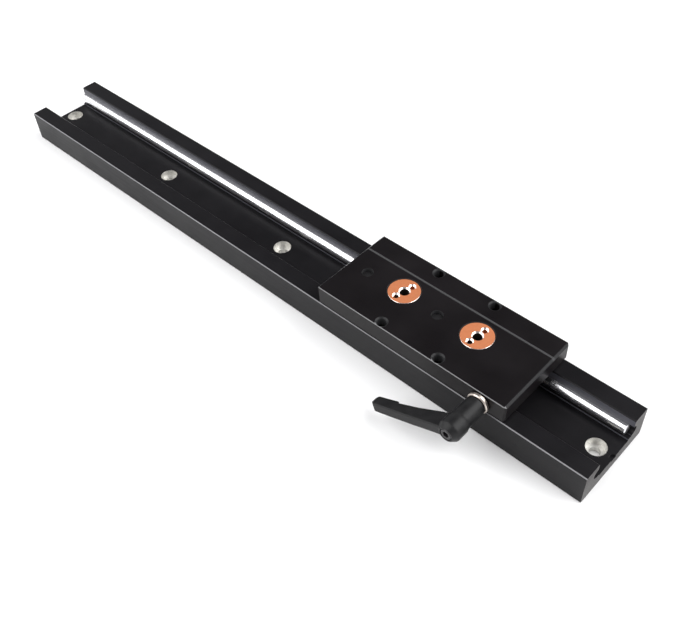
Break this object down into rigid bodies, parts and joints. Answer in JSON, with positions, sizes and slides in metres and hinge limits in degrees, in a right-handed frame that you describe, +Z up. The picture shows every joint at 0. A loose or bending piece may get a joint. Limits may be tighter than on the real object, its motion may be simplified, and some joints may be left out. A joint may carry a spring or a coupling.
{
  "type": "camera slider",
  "caption": "Straight camera slider: a channel rail with two steel shafts, a flat roller carriage with tapped camera holes, and a side clamping lever.",
  "frame": {"origin": "axis of the rail's middle mounting hole, at the underside the rail rests on", "axes": "+Z up, +X along the rail towards the end that the carriage is nearer to, -Y towards the clamping lever"},
  "size_m": [0.4152, 0.0742, 0.0301],
  "materials": {
    "anodised_rail": "bead-blasted black anodised",
    "anodised_carriage": "fine satin black anodised",
    "ground_shaft": "ground and polished hard steel",
    "copper_stud": "turned, copper-coloured",
    "bearing_steel": "ground bearing steel",
    "pressed_steel": "pressed zinc-plated steel",
    "cage_nylon": "natural nylon",
    "black_screw_steel": "black-oxide steel",
    "turned_steel": "turned bright steel",
    "lever_coating": "fine-texture black powder coat",
    "spring_steel": "drawn spring wire",
    "brass_pin": "turned brass",
    "pad_plastic": "moulded acetal"
  },
  "bodies": {
    "rail": {"rail_extrusion": "anodised_rail", "front_shaft": "ground_shaft", "back_shaft": "ground_shaft"},
    "carriage": {"carriage_block": "anodised_carriage", "fixed_stud_1": "black_screw_steel", "fixed_stud_3": "black_screw_steel", "fixed_spacer_1": "turned_steel", "fixed_spacer_3": "turned_steel", "inner_race_1": "bearing_steel", "inner_race_3": "bearing_steel", "eccentric_lock_screws": "black_screw_steel", "brake_spring": "spring_steel", "brake_retaining_ring": "spring_steel"},
    "roller_ring_1": {"roller_1": "bearing_steel", "roller_shields_1": "pressed_steel"},
    "ball_set_1": {"bearing_balls_1": "bearing_steel", "ball_cage_1": "cage_nylon"},
    "eccentric_2": {"eccentric_stud_2": "copper_stud", "eccentric_screw_2": "black_screw_steel", "inner_race_2": "bearing_steel"},
    "roller_ring_2": {"roller_2": "bearing_steel", "roller_shields_2": "pressed_steel"},
    "ball_set_2": {"bearing_balls_2": "bearing_steel", "ball_cage_2": "cage_nylon"},
    "roller_ring_3": {"roller_3": "bearing_steel", "roller_shields_3": "pressed_steel"},
    "ball_set_3": {"bearing_balls_3": "bearing_steel", "ball_cage_3": "cage_nylon"},
    "eccentric_4": {"eccentric_stud_4": "copper_stud", "eccentric_screw_4": "black_screw_steel", "inner_race_4": "bearing_steel"},
    "roller_ring_4": {"roller_4": "bearing_steel", "roller_shields_4": "pressed_steel"},
    "ball_set_4": {"bearing_balls_4": "bearing_steel", "ball_cage_4": "cage_nylon"},
    "clamp_spindle": {"clamp_stud": "turned_steel", "lever_screw": "black_screw_steel", "lever_spring": "spring_steel"},
    "lever": {"lever_handle": "lever_coating"},
    "brake": {"brake_pin": "brass_pin", "brake_pad": "pad_plastic"}
  },
  "joints": [
    {"name": "carriage_slide", "type": "slide", "parent": "rail", "child": "carriage", "axis": [1, 0, 0], "range_m": [-0.2599, 0.0421]},
    {"name": "roller_spin_1", "type": "hinge", "parent": "carriage", "child": "roller_ring_1", "pos_m": [0.0658, -0.001, 0.0115], "axis": [0, 0, 1], "continuous": true},
    {"name": "ball_set_spin_1", "type": "hinge", "parent": "carriage", "child": "ball_set_1", "pos_m": [0.0658, -0.001, 0.0115], "axis": [0, 0, 1], "continuous": true},
    {"name": "eccentric_turn_2", "type": "hinge", "parent": "carriage", "child": "eccentric_2", "pos_m": [0.0879, 0.001, 0.0115], "axis": [0, 0, 1], "range_deg": [-180, 0]},
    {"name": "roller_spin_2", "type": "hinge", "parent": "eccentric_2", "child": "roller_ring_2", "pos_m": [0.0883, 0.001, 0.0115], "axis": [0, 0, 1], "continuous": true},
    {"name": "ball_set_spin_2", "type": "hinge", "parent": "eccentric_2", "child": "ball_set_2", "pos_m": [0.0883, 0.001, 0.0115], "axis": [0, 0, 1], "continuous": true},
    {"name": "roller_spin_3", "type": "hinge", "parent": "carriage", "child": "roller_ring_3", "pos_m": [0.11, -0.001, 0.0115], "axis": [0, 0, 1], "continuous": true},
    {"name": "ball_set_spin_3", "type": "hinge", "parent": "carriage", "child": "ball_set_3", "pos_m": [0.11, -0.001, 0.0115], "axis": [0, 0, 1], "continuous": true},
    {"name": "eccentric_turn_4", "type": "hinge", "parent": "carriage", "child": "eccentric_4", "pos_m": [0.1321, 0.001, 0.0115], "axis": [0, 0, 1], "range_deg": [-180, 0]},
    {"name": "roller_spin_4", "type": "hinge", "parent": "eccentric_4", "child": "roller_ring_4", "pos_m": [0.1325, 0.001, 0.0115], "axis": [0, 0, 1], "continuous": true},
    {"name": "ball_set_spin_4", "type": "hinge", "parent": "eccentric_4", "child": "ball_set_4", "pos_m": [0.1325, 0.001, 0.0115], "axis": [0, 0, 1], "continuous": true},
    {"name": "lever_turn", "type": "hinge", "parent": "carriage", "child": "clamp_spindle", "pos_m": [0.1532, -0.02455, 0.024], "axis": [0, 1, 0], "range_deg": [-6, 84]},
    {"name": "lever_pull", "type": "slide", "parent": "clamp_spindle", "child": "lever", "axis": [0, -1, 0], "range_m": [0, 0.0036], "stiffness_N_per_m": 1500, "springref_m": -0.001, "deforming": ["lever_spring"]},
    {"name": "brake_press", "type": "slide", "parent": "carriage", "child": "brake", "axis": [0, 0, -1], "range_m": [0, 0.00026], "stiffness_N_per_m": 400, "springref_m": -0.001, "deforming": ["brake_spring"]}
  ],
  "couplings": [
    {"joint": "roller_spin_1", "follows": "carriage_slide", "rad_per_m": -99.01},
    {"joint": "ball_set_spin_1", "follows": "carriage_slide", "rad_per_m": -59.819},
    {"joint": "roller_spin_2", "follows": "carriage_slide", "rad_per_m": 99.01},
    {"joint": "ball_set_spin_2", "follows": "carriage_slide", "rad_per_m": 59.819},
    {"joint": "roller_spin_3", "follows": "carriage_slide", "rad_per_m": -99.01},
    {"joint": "ball_set_spin_3", "follows": "carriage_slide", "rad_per_m": -59.819},
    {"joint": "roller_spin_4", "follows": "carriage_slide", "rad_per_m": 99.01},
    {"joint": "ball_set_spin_4", "follows": "carriage_slide", "rad_per_m": 59.819}
  ]
}
